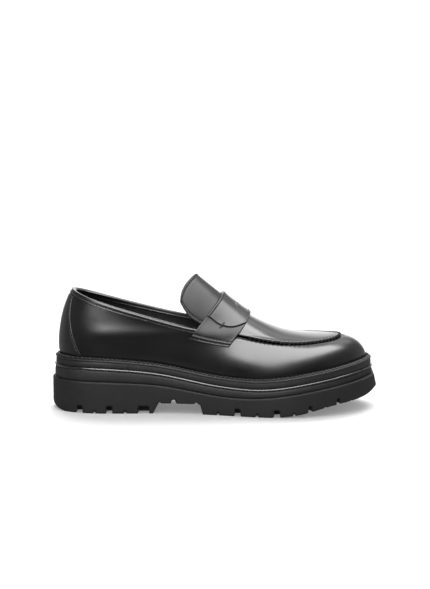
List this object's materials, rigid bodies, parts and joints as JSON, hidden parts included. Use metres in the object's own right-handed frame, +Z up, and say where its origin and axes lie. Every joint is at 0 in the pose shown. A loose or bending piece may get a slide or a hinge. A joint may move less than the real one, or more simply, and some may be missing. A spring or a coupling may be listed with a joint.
{
  "type": "penny loafer",
  "caption": "Slip-on leather shoe for a right foot, with a saddle strap with a coin slot over the instep and a thick lugged sole.",
  "frame": {"origin": "on the ground, at the centre of the outsole's length and width", "axes": "+X from heel to toe, +Y to the inner (medial) side of the foot, +Z up; a right shoe"},
  "size_m": [0.308, 0.112, 0.1275],
  "materials": {
    "upper_leather": "polished black calf",
    "lining_leather": "matt black lining leather",
    "outsole_rubber": "matt moulded rubber",
    "midsole_rubber": "matt light foam rubber",
    "bead_rubber": "polished edge",
    "welt_rubber": "matt, ridged top",
    "thread": "waxed black thread",
    "cork": "pressed cork",
    "shank_steel": "spring steel",
    "board": "fibreboard",
    "foam": "soft foam",
    "cloth": "cotton drill"
  },
  "bodies": {
    "shoe": {"outsole": "outsole_rubber", "midsole": "midsole_rubber", "midsole_bead": "bead_rubber", "welt": "welt_rubber", "welt_stitches": "thread", "cork_filler": "cork", "shank": "shank_steel", "insole_board": "board", "footbed_foam": "foam", "sock_lining": "lining_leather", "vamp_and_quarters": "upper_leather", "lining": "lining_leather", "heel_counter": "board", "toe_puff": "board", "side_linings": "cloth", "backstay": "upper_leather", "backstay_stitches": "thread", "topline_binding": "upper_leather", "topline_stitches": "thread", "apron": "upper_leather", "apron_lining": "lining_leather", "apron_stitches": "thread", "saddle_strap": "upper_leather", "strap_stitches": "thread", "penny_keeper": "upper_leather", "keeper_stitches": "thread", "keeper_tacks": "thread"},
    "tongue": {"tongue": "upper_leather", "tongue_lining": "lining_leather", "tongue_stitches": "thread"}
  },
  "joints": [
    {"name": "tongue_flex", "type": "hinge", "parent": "shoe", "child": "tongue", "pos_m": [0.0052, 0, 0.106], "axis": [0, 1, 0], "range_deg": [0, 15], "stiffness_Nm_per_rad": 0.12}
  ]
}
